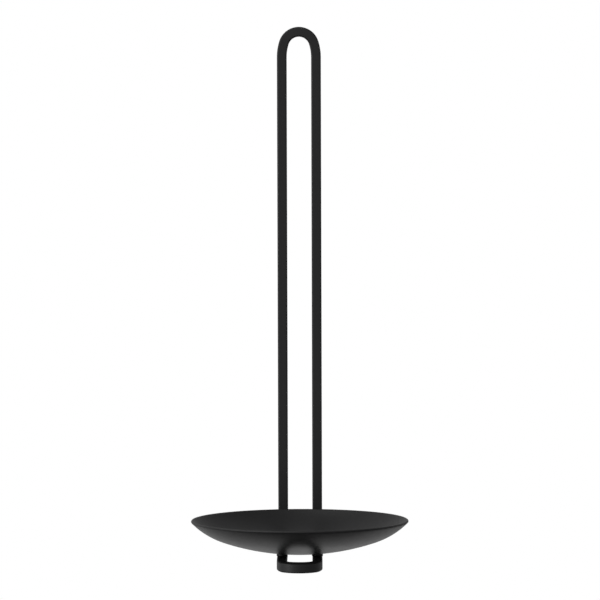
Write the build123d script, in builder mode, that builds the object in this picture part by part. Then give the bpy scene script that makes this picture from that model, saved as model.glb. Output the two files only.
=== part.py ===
from build123d import *
import math
import os

# Wall tealight holder: one square steel bar bent into a closed loop that hangs flat on the wall, and a
# shallow spun steel dish welded to the two arms in which the loop comes forward. Millimetres, +Z up, the wall
# is the plane Y = 0, the room is at -Y, and the origin is the centre of the top bow's head, in the plane of
# the wall.

# Bar and loop
bar = 6.0  # side of the square bar
bar_corner = 1.0  # radius along the bar's four edges
half_width = 10.5  # from the middle of the loop to the centre line of each side
head_radius = 9.6  # centre line of the bar at the head of the top bow and of the front bow
flank_radius = 30.0  # centre line of the slacker curve that leads from each side into the head
overall_height = 322.5  # from the bottom of the arms to the top of the top bow
overall_reach = 124.5  # from the wall to the front of the front bow
bend_inside = 5.0  # inside radius where each upright turns into its arm

# Dish
dish_diameter = 130.0
dish_depth = 20.2  # outside, from the lowest point to the top of the edge
dish_to_wall = 73.0  # from the wall to the dish's centre
sheet = 1.5  # thickness of the steel sheet, and of the full-round edge
floor_radius = 145.0  # outside radius of the gently curved floor
shoulder_radius = 46.0  # outside radius of the steeper shoulder

# Welds
closing_gap = 1.6  # length of bar that the butt weld fills
closing_proud = 0.12  # how far the dressed weld still stands out of the bar
closing_to_wall = 34.0
bead_length = 22.0  # along the arm
bead_proud = 0.3  # beyond the arm on each side
bead_below = 0.6  # down the arm's sides
bead_edge = 0.25

# Each bow is three arcs that run into each other: flank, head and flank. Seen from the head's centre, a flank
# begins flank_begins back along the loop, and meets the head at head_side across and head_ahead in front.
bow_turn = math.acos((flank_radius - half_width) / (flank_radius - head_radius))
flank_begins = (flank_radius - head_radius) * math.sin(bow_turn)
head_side = head_radius * math.cos(bow_turn)
head_ahead = head_radius * math.sin(bow_turn)

# Heights and places that follow from them
arm_z = head_radius + bar / 2 - overall_height + bar / 2
arm_top_z = arm_z + bar / 2
bend_radius = bend_inside + bar / 2
upright_y = -bar / 2
front_head_y = -(overall_reach - head_radius - bar / 2)
dish_axis = Axis((0, -dish_to_wall, arm_top_z), (0, 0, 1))

# The bent bar: up the right upright, over the top bow, down to the left arm, round the front bow and back
with BuildPart() as loop_bar:
    with BuildLine() as bar_path:
        right_back = Line(
            (half_width, -closing_to_wall + closing_gap / 2, arm_z),
            (half_width, upright_y - bend_radius, arm_z),
        )
        right_bend = TangentArc(
            right_back @ 1, (half_width, upright_y, arm_z + bend_radius), tangent=right_back % 1
        )
        right_upright = Line(right_bend @ 1, (half_width, upright_y, -flank_begins))
        top_right_flank = TangentArc(
            right_upright @ 1, (head_side, upright_y, head_ahead), tangent=right_upright % 1
        )
        top_head = TangentArc(
            top_right_flank @ 1, (-head_side, upright_y, head_ahead), tangent=top_right_flank % 1
        )
        top_left_flank = TangentArc(
            top_head @ 1, (-half_width, upright_y, -flank_begins), tangent=top_head % 1
        )
        left_upright = Line(top_left_flank @ 1, (-half_width, upright_y, arm_z + bend_radius))
        left_bend = TangentArc(
            left_upright @ 1, (-half_width, upright_y - bend_radius, arm_z), tangent=left_upright % 1
        )
        left_arm = Line(left_bend @ 1, (-half_width, front_head_y + flank_begins, arm_z))
        front_left_flank = TangentArc(
            left_arm @ 1, (-head_side, front_head_y - head_ahead, arm_z), tangent=left_arm % 1
        )
        front_head = TangentArc(
            front_left_flank @ 1, (head_side, front_head_y - head_ahead, arm_z), tangent=front_left_flank % 1
        )
        front_right_flank = TangentArc(
            front_head @ 1, (half_width, front_head_y + flank_begins, arm_z), tangent=front_head % 1
        )
        right_front = Line(front_right_flank @ 1, (half_width, -closing_to_wall - closing_gap / 2, arm_z))
    with BuildSketch(Plane(origin=bar_path.line @ 0, x_dir=(1, 0, 0), z_dir=bar_path.line % 0)):
        RectangleRounded(bar, bar, bar_corner)
    sweep(path=bar_path.line)
loop_bar.part.label = "loop_bar"

# The butt weld that closes the loop, dressed down nearly to the bar
with BuildPart() as closing_weld:
    with BuildSketch(Plane(origin=(half_width, -closing_to_wall, arm_z), x_dir=(1, 0, 0), z_dir=(0, 1, 0))):
        RectangleRounded(bar + 2 * closing_proud, bar + 2 * closing_proud, bar_corner + closing_proud)
    extrude(amount=closing_gap / 2, both=True)
closing_weld.part.label = "closing_weld"

# The dish's profile is an arc for the floor, a tighter arc for the shoulder and a half round for the edge.
# The shoulder's centre lies on the floor's radius at the angle where the two meet, and the edge's centre lies
# on the middle of the sheet, which gives that angle.
edge_centre = Vector(dish_diameter / 2 - sheet / 2, dish_depth - sheet / 2)
floor_centre = Vector(0, floor_radius)
to_edge = edge_centre - floor_centre
centres_apart = floor_radius - shoulder_radius
shoulder_mid_radius = shoulder_radius - sheet / 2
between = math.acos(
    (to_edge.length**2 + centres_apart**2 - shoulder_mid_radius**2) / (2 * to_edge.length * centres_apart)
)
join_angle = math.atan2(to_edge.X, -to_edge.Y) - between
shoulder_centre = floor_centre + Vector(math.sin(join_angle), -math.cos(join_angle)) * centres_apart
to_rim = edge_centre - shoulder_centre
rim_angle = math.degrees(math.atan2(to_rim.X, -to_rim.Y))
join_angle = math.degrees(join_angle)

with BuildPart() as dish:
    with BuildSketch(Plane(origin=dish_axis.position, x_dir=(1, 0, 0), z_dir=(0, -1, 0))):
        with BuildLine():
            CenterArc(floor_centre, floor_radius, -90, join_angle)
            CenterArc(shoulder_centre, shoulder_radius, join_angle - 90, rim_angle - join_angle)
            CenterArc(edge_centre, sheet / 2, rim_angle - 90, 180)
            CenterArc(shoulder_centre, shoulder_radius - sheet, join_angle - 90, rim_angle - join_angle)
            CenterArc(floor_centre, floor_radius - sheet, -90, join_angle)
            Line((0, 0), (0, sheet))
        make_face()
    revolve(axis=dish_axis)
dish.part.label = "dish"

# One weld on each arm fills the wedge between the flat bar and the curved dish
with BuildPart() as dish_weld_right:
    with BuildSketch(Plane(origin=(half_width, -dish_to_wall, arm_top_z - bead_below))):
        SlotOverall(bead_length, bar + 2 * bead_proud, rotation=90)
    extrude(amount=bead_below + sheet)
    chamfer(faces().sort_by(Axis.Z)[0].edges(), bead_edge)
    add(loop_bar.part, mode=Mode.SUBTRACT)
    add(dish.part, mode=Mode.SUBTRACT)
dish_weld_right.part.label = "dish_weld_right"

with BuildPart() as dish_weld_left:
    mirror(dish_weld_right.part, about=Plane.YZ)
dish_weld_left.part.label = "dish_weld_left"

os.makedirs("parts", exist_ok=True)
export_step(loop_bar.part, "parts/loop_bar.step")
export_step(closing_weld.part, "parts/closing_weld.step")
export_step(dish.part, "parts/dish.step")
export_step(dish_weld_left.part, "parts/dish_weld_left.step")
export_step(dish_weld_right.part, "parts/dish_weld_right.step")

print("arm centre z", arm_z, "dish lowest z", arm_top_z, "dish top z", arm_top_z + dish_depth)
print("floor meets shoulder at", round(join_angle, 2), "deg, shoulder ends at", round(rim_angle, 2), "deg")
section = bar**2 - (4 - math.pi) * bar_corner**2
length = sum(edge.length for edge in bar_path.edges())
print("bar", round(length, 2), "long, volume", round(loop_bar.part.volume), "of", round(section * length))
for piece in (loop_bar, closing_weld, dish, dish_weld_left, dish_weld_right):
    print(piece.part.label, len(piece.part.solids()), round(piece.part.volume, 2), piece.part.is_valid)
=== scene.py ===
"""Wall tealight holder: a bent and welded loop of square steel bar that carries a spun steel dish, all of
it powder coated matt black. Metres, in the part's own frame: the wall is y = 0, the room is at -y, and z is
up."""

import math

import bmesh
import bpy
from mathutils import Matrix, Vector


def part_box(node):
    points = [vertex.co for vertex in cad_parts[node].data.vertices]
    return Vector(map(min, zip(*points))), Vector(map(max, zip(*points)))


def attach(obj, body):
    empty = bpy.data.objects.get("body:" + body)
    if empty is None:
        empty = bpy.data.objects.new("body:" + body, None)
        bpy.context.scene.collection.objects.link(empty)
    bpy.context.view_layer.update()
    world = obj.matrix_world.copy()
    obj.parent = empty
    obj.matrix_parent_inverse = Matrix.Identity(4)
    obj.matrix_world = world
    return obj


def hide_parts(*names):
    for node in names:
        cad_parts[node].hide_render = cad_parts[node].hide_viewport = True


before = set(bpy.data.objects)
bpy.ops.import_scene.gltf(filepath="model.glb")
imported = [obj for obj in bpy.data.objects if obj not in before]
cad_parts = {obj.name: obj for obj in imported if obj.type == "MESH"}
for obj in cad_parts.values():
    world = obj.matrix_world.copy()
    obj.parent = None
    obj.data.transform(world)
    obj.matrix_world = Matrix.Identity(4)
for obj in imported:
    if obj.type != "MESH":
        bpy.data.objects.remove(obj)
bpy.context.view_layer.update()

# Bent bar
# One length of 6 mm square steel bar with slightly rounded edges. It is bent cold round formers into the top
# bow that hangs on the wall, a right angle at the foot of each upright, and the bow in front.
bar = 0.006
bar_corner = 0.001
corner_steps = 5
inside_of_right_angle = 0.005
head_radius = 0.0096
flank_radius = 0.03
right_angle_steps = 18
flank_steps = 6
head_steps = 30
drawn_in = 0.045  # share of its width that the outside of a bend loses
spread = 0.035  # share that the inside gains
touching = 0.00001

low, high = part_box("loop_bar")
weld_low, weld_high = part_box("closing_weld")
half_width = high.x - bar / 2
arm_z = low.z + bar / 2
arm_top = low.z + bar
upright_y = high.y - bar / 2
front_head_y = low.y + bar / 2 + head_radius
bend_radius = inside_of_right_angle + bar / 2
bend_y = upright_y - bend_radius
bend_z = arm_z + bend_radius
bow_turn = math.acos((flank_radius - half_width) / (flank_radius - head_radius))
flank_begins = (flank_radius - head_radius) * math.sin(bow_turn)
head_turn = 180 - 2 * math.degrees(bow_turn)


def start(name):
    """Names the primitive that was just added, puts its place into its mesh, and opens it in edit mode."""
    piece = bpy.context.object
    piece.name = name
    piece.data.name = name
    bpy.ops.object.transform_apply()
    bpy.ops.object.mode_set(mode="EDIT")
    return piece


def select(piece, wanted):
    """In edit mode, selects the vertices whose place wanted accepts, with what lies between them."""
    shape = bmesh.from_edit_mesh(piece.data)
    for vertex in shape.verts:
        vertex.select = wanted(vertex.co)
    shape.select_flush_mode()
    bmesh.update_edit_mesh(piece.data)


def close(piece, smooth_below=30):
    """Turns the faces outwards, leaves edit mode, and shades smooth all but the edges above that angle."""
    bpy.ops.mesh.select_all(action="SELECT")
    bpy.ops.mesh.remove_doubles(threshold=touching / 10)
    bpy.ops.mesh.normals_make_consistent(inside=False)
    bpy.ops.object.mode_set(mode="OBJECT")
    bpy.ops.object.shade_smooth_by_angle(angle=math.radians(smooth_below))


def run(x=0, y=0, z=0):
    """Carries the open end straight on."""
    bpy.ops.mesh.extrude_region_move(TRANSFORM_OT_translate={"value": (x, y, z)})


def bend(centre, axis, degrees, steps):
    """Carries the open end on round an axis, turning as a right-handed screw does."""
    bpy.ops.mesh.spin(steps=steps, angle=-math.radians(degrees), center=centre, axis=axis)


def bow(head, first, axis):
    """Carries the open end round the three arcs of a bow: a slack flank, the head and the other flank. first
    points from the head's centre to the side on which the bow begins."""
    first = Vector(first)
    base = Vector(head) + first.cross(Vector(axis)) * flank_begins
    across = first * (half_width - flank_radius)
    bend(base + across, axis, math.degrees(bow_turn), flank_steps)
    bend(head, axis, head_turn, head_steps)
    bend(base - across, axis, math.degrees(bow_turn), flank_steps)


bpy.ops.object.select_all(action="DESELECT")
bpy.ops.mesh.primitive_plane_add(
    size=bar, location=(half_width, weld_high.y, arm_z), rotation=(math.radians(90), 0, 0)
)
bent_bar = start("bent_bar")
bpy.ops.mesh.bevel(offset=bar_corner, segments=corner_steps, affect="VERTICES")
run(y=bend_y - weld_high.y)
bend((half_width, bend_y, bend_z), (1, 0, 0), 90, right_angle_steps)
run(z=-flank_begins - bend_z)
bow((0, upright_y, 0), (1, 0, 0), (0, -1, 0))
run(z=bend_z + flank_begins)
bend((-half_width, bend_y, bend_z), (-1, 0, 0), 90, right_angle_steps)
run(y=front_head_y + flank_begins - bend_y)
bow((0, front_head_y, arm_z), (-1, 0, 0), (0, 0, 1))
run(y=weld_low.y - front_head_y - flank_begins)


def work_bend(centre, first, axis, degrees, steps, on_table=0):
    """Narrows the outside of a bend and spreads the inside, most in its middle, as bending a thick bar does.
    first points from the bend's centre to the middle of the bar where the bend begins. A face that lies on
    the bending table stays flat: on_table says on which side along the axis, and 0 is neither."""
    axis = Vector(axis)
    for step in range(1, steps):
        outward = Matrix.Rotation(math.radians(degrees) * step / steps, 3, axis) @ Vector(first)
        middle = Vector(centre) + outward
        along = axis.cross(outward).normalized()
        share = math.sin(math.pi * step / steps)
        for side, change in ((1, -drawn_in), (-1, spread)):

            def in_this_half(place):
                offset = place - middle
                in_section = abs(offset.dot(along)) < touching and offset.length < bar
                return in_section and side * offset.dot(outward) > 0

            select(bent_bar, in_this_half)
            factor = 1 + share * change
            bpy.ops.transform.resize(
                value=[1 + abs(part) * (factor - 1) for part in axis],
                center_override=middle + axis * on_table * bar / 2,
            )


head_side = head_radius * math.cos(bow_turn)
head_ahead = head_radius * math.sin(bow_turn)
for side in (half_width, -half_width):
    work_bend((side, bend_y, bend_z), (0, 0, -bend_radius), (1, 0, 0), 90, right_angle_steps)
work_bend((0, upright_y, 0), (head_side, 0, head_ahead), (0, -1, 0), head_turn, head_steps, on_table=-1)
work_bend(
    (0, front_head_y, arm_z), (-head_side, -head_ahead, 0), (0, 0, 1), head_turn, head_steps, on_table=-1
)
close(bent_bar)
bpy.ops.object.modifier_add(type="WEIGHTED_NORMAL")
bpy.ops.object.modifier_apply(modifier=bent_bar.modifiers[0].name)


class Signal:
    """A socket in a node tree. Arithmetic on it adds Math nodes, and node adds a node of any other kind."""

    def __init__(self, tree, socket=None):
        self.tree = tree
        self.socket = socket

    def node(self, kind, settings=(), sockets=(), out=0):
        """Adds a node, sets it up, and gives its sockets numbers, colours or other signals."""
        made = self.tree.nodes.new("ShaderNode" + kind)
        for name, value in dict(settings).items():
            setattr(made, name, value)
        for name, value in dict(sockets).items():
            if isinstance(value, Signal):
                self.tree.links.new(value.socket, made.inputs[name])
            else:
                made.inputs[name].default_value = value
        return Signal(self.tree, made.outputs[out]) if made.outputs else None

    def maths(self, operation, first, second=0.0):
        return self.node("Math", {"operation": operation}, {0: first, 1: second})

    def __add__(self, other):
        return self.maths("ADD", self, other)

    def __sub__(self, other):
        return self.maths("SUBTRACT", self, other)

    def __rsub__(self, other):
        return self.maths("SUBTRACT", other, self)

    def __mul__(self, other):
        return self.maths("MULTIPLY", self, other)

    __radd__ = __add__
    __rmul__ = __mul__


coat_dark = (0.0112, 0.0112, 0.0116, 1)
coat_light = (0.0158, 0.0158, 0.0164, 1)
coat_roughness = 0.5
tone_by_grain = 1.2
tone_by_cloud = 1.0
roughness_by_cloud = 0.1
roughness_by_peel = 0.06
grain_size = 0.00042
grain_height = 0.000018
peel_size = 0.0026
peel_height = 0.000012
cloud_size = 0.03


def powder_coat(name, marks=None):
    """Black polyester powder, baked on as a fine grain over a faint orange peel. marks, if given, takes the
    material's signal and the place on the piece, and returns the height, in metres, of what shows through
    from the steel."""
    material = bpy.data.materials.new(name)
    material.use_nodes = True
    material.node_tree.nodes.clear()
    coat = Signal(material.node_tree)
    place = coat.node("TexCoord", out="Object")

    def noise(size, detail):
        return coat.node("TexNoise", sockets={"Vector": place, "Scale": 1 / size, "Detail": detail})

    grain = noise(grain_size, 3)
    peel = noise(peel_size, 1)
    cloud = noise(cloud_size, 2)
    height = grain * grain_height + peel * peel_height
    if marks:
        height = height + marks(coat, place)
    tone = 0.5 + (grain - 0.5) * tone_by_grain + (cloud - 0.5) * tone_by_cloud
    tone = coat.node("Clamp", sockets={"Value": tone})
    colour = coat.node("Mix", {"data_type": "RGBA"}, {0: tone, 6: coat_dark, 7: coat_light}, out=2)
    roughness = coat_roughness + (cloud - 0.5) * roughness_by_cloud + (peel - 0.5) * roughness_by_peel
    normal = coat.node("Bump", sockets={"Height": height, "Distance": 1.0})
    surface = coat.node(
        "BsdfPrincipled", sockets={"Base Color": colour, "Roughness": roughness, "Normal": normal}
    )
    coat.node("OutputMaterial", sockets={"Surface": surface})
    return material


bent_bar.data.materials.append(powder_coat("coat_on_bar"))
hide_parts("loop_bar")
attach(bent_bar, "root")

# Closing weld
# The bar's two ends meet on the right arm, where the dish hides them. They are butt welded there, and the
# weld is filed down until it stands a tenth of a millimetre out of the bar, a little wavy and soft edged.
weld_edge = 0.00018
weld_edge_steps = 3
halvings = 2
wave_size = 0.0011
wave_height = 0.00006

bpy.ops.object.select_all(action="DESELECT")
bpy.ops.mesh.primitive_cube_add(size=1, location=(weld_low + weld_high) / 2, scale=weld_high - weld_low)
butt_weld = start("butt_weld")
bpy.ops.mesh.select_all(action="DESELECT")
shape = bmesh.from_edit_mesh(butt_weld.data)
for edge in shape.edges:
    edge.select = abs(edge.verts[0].co.y - edge.verts[1].co.y) > touching
bmesh.update_edit_mesh(butt_weld.data)
weld_corner = bar_corner + (weld_high.z - weld_low.z - bar) / 2
bpy.ops.mesh.bevel(offset=weld_corner, segments=corner_steps)
for end in (weld_low.y, weld_high.y):
    select(butt_weld, lambda place: abs(place.y - end) < touching)
    bpy.ops.mesh.bevel(offset=weld_edge, segments=weld_edge_steps)
close(butt_weld)
bpy.ops.object.modifier_add(type="SUBSURF")
butt_weld.modifiers[0].subdivision_type = "SIMPLE"
butt_weld.modifiers[0].levels = halvings
butt_weld.modifiers[0].render_levels = halvings
bpy.ops.object.modifier_apply(modifier=butt_weld.modifiers[0].name)
waves = bpy.data.textures.new("file_marks", "CLOUDS")
waves.noise_scale = wave_size
bpy.ops.object.modifier_add(type="DISPLACE")
butt_weld.modifiers[0].texture = waves
butt_weld.modifiers[0].texture_coords = "LOCAL"
butt_weld.modifiers[0].strength = wave_height
butt_weld.modifiers[0].mid_level = 1.0
bpy.ops.object.modifier_apply(modifier=butt_weld.modifiers[0].name)
butt_weld.data.materials.append(powder_coat("coat_on_butt_weld"))
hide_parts("closing_weld")
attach(butt_weld, "root")

# Dish
# A disc of 1.5 mm steel sheet, spun over a form into a shallow bowl: a gently curved floor, a tighter
# shoulder, and an edge that is turned fully round. It rests on the two arms, and the powder hides all but a
# trace of the spinning.
sheet = 0.0015
floor_radius = 0.145
shoulder_radius = 0.046
floor_steps = 24
shoulder_steps = 16
edge_steps = 12
turn_steps = 192
ring_pitch = 0.0018
ring_height = 0.000004

dish_low, dish_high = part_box("dish")
dish_centre = Vector((0, (dish_low.y + dish_high.y) / 2, dish_low.z))
edge_centre = Vector((dish_high.x - sheet / 2, dish_high.z - dish_low.z - sheet / 2))
floor_centre = Vector((0, floor_radius))
to_edge = edge_centre - floor_centre
centres_apart = floor_radius - shoulder_radius
shoulder_middle = shoulder_radius - sheet / 2
between = math.acos(
    (to_edge.length**2 + centres_apart**2 - shoulder_middle**2) / (2 * to_edge.length * centres_apart)
)
join_angle = math.atan2(to_edge.x, -to_edge.y) - between
shoulder_centre = floor_centre + Vector((math.sin(join_angle), -math.cos(join_angle))) * centres_apart
to_rim = edge_centre - shoulder_centre
shoulder_angle = math.atan2(to_rim.x, -to_rim.y) - join_angle


def arc(centre, angle, steps):
    """Draws the profile on round a centre that is given across and up from the dish's lowest point."""
    bend(dish_centre + Vector((centre.x, 0, centre.y)), (0, -1, 0), math.degrees(angle), steps)


bpy.ops.object.select_all(action="DESELECT")
bpy.ops.mesh.primitive_plane_add(size=sheet, location=dish_centre)
spun_dish = start("spun_dish")
bpy.ops.mesh.merge(type="CENTER")
arc(floor_centre, join_angle, floor_steps)
arc(shoulder_centre, shoulder_angle, shoulder_steps)
arc(edge_centre, math.pi, edge_steps)
arc(shoulder_centre, -shoulder_angle, shoulder_steps)
arc(floor_centre, -join_angle, floor_steps)
bpy.ops.mesh.select_all(action="SELECT")
bend(dish_centre, (0, 0, 1), 360, turn_steps)
close(spun_dish, smooth_below=60)


def spinning_rings(coat, place):
    """Faint uneven rings round the dish's axis, which the spinning roller leaves."""
    from_axis = coat.node("VectorMath", {"operation": "SUBTRACT"}, {0: place, 1: dish_centre})
    parts = coat.node("SeparateXYZ", sockets={0: from_axis})
    across = Signal(coat.tree, parts.socket.node.outputs["X"])
    away = Signal(coat.tree, parts.socket.node.outputs["Y"])
    radius = coat.maths("SQRT", across * across + away * away)
    rings = coat.node(
        "TexNoise", {"noise_dimensions": "1D"}, {"W": radius, "Scale": 1 / ring_pitch, "Detail": 2}
    )
    return rings * ring_height


spun_dish.data.materials.append(powder_coat("coat_on_dish", spinning_rings))
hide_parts("dish")
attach(spun_dish, "root")

# Dish welds
# One weld on each arm fills the narrow wedge between the flat bar and the round dish and runs a little way
# down the arm's sides. It is laid as a row of small overlapping pools, so its sides are faintly rippled.
ripple_pitch = 0.0012
ripple = 0.00022
ripple_rings = 8
into_sheet = 0.0012
blunt = 20  # how many times narrower than its middle the bead's ends are

for side in ("left", "right"):
    bead_low, bead_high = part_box("dish_weld_" + side)
    middle = (bead_low + bead_high) / 2
    width = bead_high.x - bead_low.x
    length = bead_high.y - bead_low.y
    height = arm_top + into_sheet - bead_low.z
    rings = round(length / ripple_pitch * ripple_rings)

    def width_at(along):
        """The bead's width at a distance along it: round at both ends, and rippled between them."""
        past_round = max(abs(along - length / 2) - (length - width) / 2, 0)
        outline = 2 * math.sqrt(max((width / 2) ** 2 - past_round**2, (width / blunt) ** 2))
        pool = abs(math.sin(math.pi * along / ripple_pitch))
        return outline - ripple * (1 - pool)

    bpy.ops.object.select_all(action="DESELECT")
    bpy.ops.mesh.primitive_plane_add(
        size=height,
        location=(middle.x, bead_low.y, bead_low.z + height / 2),
        rotation=(math.radians(90), 0, 0),
    )
    bead = start("bead_" + side)
    bpy.ops.transform.resize(value=(width_at(0) / height, 1, 1))
    for ring in range(rings):
        here, there = (length * place / rings for place in (ring, ring + 1))
        run(y=there - here)
        bpy.ops.transform.resize(
            value=(width_at(there) / width_at(here), 1, 1),
            center_override=(middle.x, bead_low.y + there, bead_low.z),
        )
    close(bead, smooth_below=50)
    bead.data.materials.append(powder_coat("coat_on_bead_" + side))
    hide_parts("dish_weld_" + side)
    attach(bead, "root")

# Camera
# It stands in front of the dish and looks slightly down on it. A long lens from two metres away gives the
# flat ellipse of the dish's edge, and the front bow a shade larger than the top one.
camera_distance = 2.13
camera_above_edge = 0.22235
camera_aside = 0.0092
camera_down = 2.4421  # degrees, as the next two
camera_turned = 0.2256
camera_leaning = 0.1732
focal_length = 214.55
far_enough = 100

bpy.ops.object.camera_add(
    location=(camera_aside, dish_centre.y - camera_distance, dish_high.z + camera_above_edge),
    rotation=(math.radians(90 - camera_down), math.radians(camera_leaning), math.radians(camera_turned)),
)
camera = bpy.context.object
camera.data.lens = focal_length
camera.data.clip_end = far_enough
bpy.context.scene.camera = camera

# Floor
# A pale floor some way below the holder, which takes its shadow and fades into the white of the background.
# Only the camera sees it, and only from above: for the holder's reflections, the studio below it is part of
# the world.
floor_below = 0.3
floor_reach = 6.0
floor_corners = 96
floor_fade_from = 0.5
floor_fade_to = 1.1
floor_colour = (0.8, 0.8, 0.8, 1)
floor_lift = 0.42
white = (1, 1, 1, 1)

floor_middle = Vector((0, dish_centre.y, low.z - floor_below))
bpy.ops.object.select_all(action="DESELECT")
bpy.ops.mesh.primitive_circle_add(
    vertices=floor_corners, radius=floor_reach, fill_type="NGON", location=floor_middle
)
floor = start("floor")
bpy.ops.object.mode_set(mode="OBJECT")
floor.visible_diffuse = False
floor.visible_glossy = False
floor.visible_shadow = False
paper = bpy.data.materials.new("pale_floor")
paper.use_nodes = True
paper.node_tree.nodes.clear()
ground = Signal(paper.node_tree)
spot = ground.node("TexCoord", out="Object")
from_middle = ground.node("VectorMath", {"operation": "DISTANCE"}, {0: spot, 1: floor_middle}, out="Value")
fade = ground.node(
    "MapRange",
    {"interpolation_type": "SMOOTHSTEP"},
    {"Value": from_middle, "From Min": floor_fade_from, "From Max": floor_fade_to},
)
lit = ground.node("BsdfDiffuse", sockets={"Color": floor_colour})
lift = ground.node("Emission", sockets={"Color": white, "Strength": floor_lift})
near = ground.node("AddShader", sockets={0: lit, 1: lift})
far = ground.node("Emission", sockets={"Color": white, "Strength": 1})
from_above = ground.node("MixShader", sockets={0: fade, 1: near, 2: far})
from_below = ground.node("NewGeometry", out="Backfacing")
clear = ground.node("BsdfTransparent")
surface = ground.node("MixShader", sockets={0: from_below, 1: from_above, 2: clear})
ground.node("OutputMaterial", sockets={"Surface": surface})
floor.data.materials.append(paper)

# Light
# A white studio, of which the camera sees plain white all round. The coat reflects a room that is lighter on
# the left than on the right and dark underneath, and the white paper behind and below the holder. A large
# soft lamp stands on the left, and a smaller one higher up draws the shadow on the floor.
room_level = 0.5
room_slope = 0.18  # how much lighter the room is on the left, and darker on the right
ceiling_slope = 0.2  # how much darker the room is straight above
dark_below = -0.75  # height of a direction in which the room is quite dark
light_above = 0.15
paper_level = 0.93
paper_down = 40  # degrees below the horizon to the middle of the paper
paper_outside = 38  # degrees from its middle to where the paper has faded out
paper_inside = 18

studio = bpy.data.worlds.new("studio")
bpy.context.scene.world = studio
studio.use_nodes = True
studio.node_tree.nodes.clear()
sky = Signal(studio.node_tree)
direction = sky.node("TexCoord", out="Generated")
parts = sky.node("SeparateXYZ", sockets={0: direction})
rightward = Signal(sky.tree, parts.socket.node.outputs["X"])
upward = Signal(sky.tree, parts.socket.node.outputs["Z"])
to_paper = (0, math.cos(math.radians(paper_down)), -math.sin(math.radians(paper_down)))
nearness = sky.node("VectorMath", {"operation": "DOT_PRODUCT"}, {0: direction, 1: to_paper}, out="Value")


def rise(value, begin, end):
    """Rises smoothly from 0 to 1 as the value goes from begin to end."""
    return sky.node(
        "MapRange",
        {"interpolation_type": "SMOOTHSTEP"},
        {"Value": value, "From Min": begin, "From Max": end},
    )


room = room_level - rightward * room_slope - upward * ceiling_slope
room = room * rise(upward, dark_below, light_above)
on_paper = rise(nearness, math.cos(math.radians(paper_outside)), math.cos(math.radians(paper_inside)))
level = room + on_paper * (paper_level - room)
seen = sky.node("LightPath", out="Is Camera Ray")
shine = sky.node("Background", sockets={"Color": white, "Strength": seen + (1 - seen) * level})
sky.node("OutputWorld", sockets={"Surface": shine})

for name, around, up, away, size, power in (
    ("left_lamp", -60, 6, 2.0, 1.0, 8),
    ("upper_lamp", -50, 60, 2.2, 0.4, 7),
):
    across = away * math.cos(math.radians(up))
    toward = Vector(
        (
            -across * math.sin(math.radians(around)),
            across * math.cos(math.radians(around)),
            -away * math.sin(math.radians(up)),
        )
    )
    bpy.ops.object.light_add(
        type="AREA", location=dish_centre - toward, rotation=toward.to_track_quat("-Z", "Y").to_euler()
    )
    lamp = bpy.context.object
    lamp.name = name
    lamp.data.size = size
    lamp.data.energy = power
    lamp.visible_camera = False

bpy.context.scene.view_settings.view_transform = "Standard"
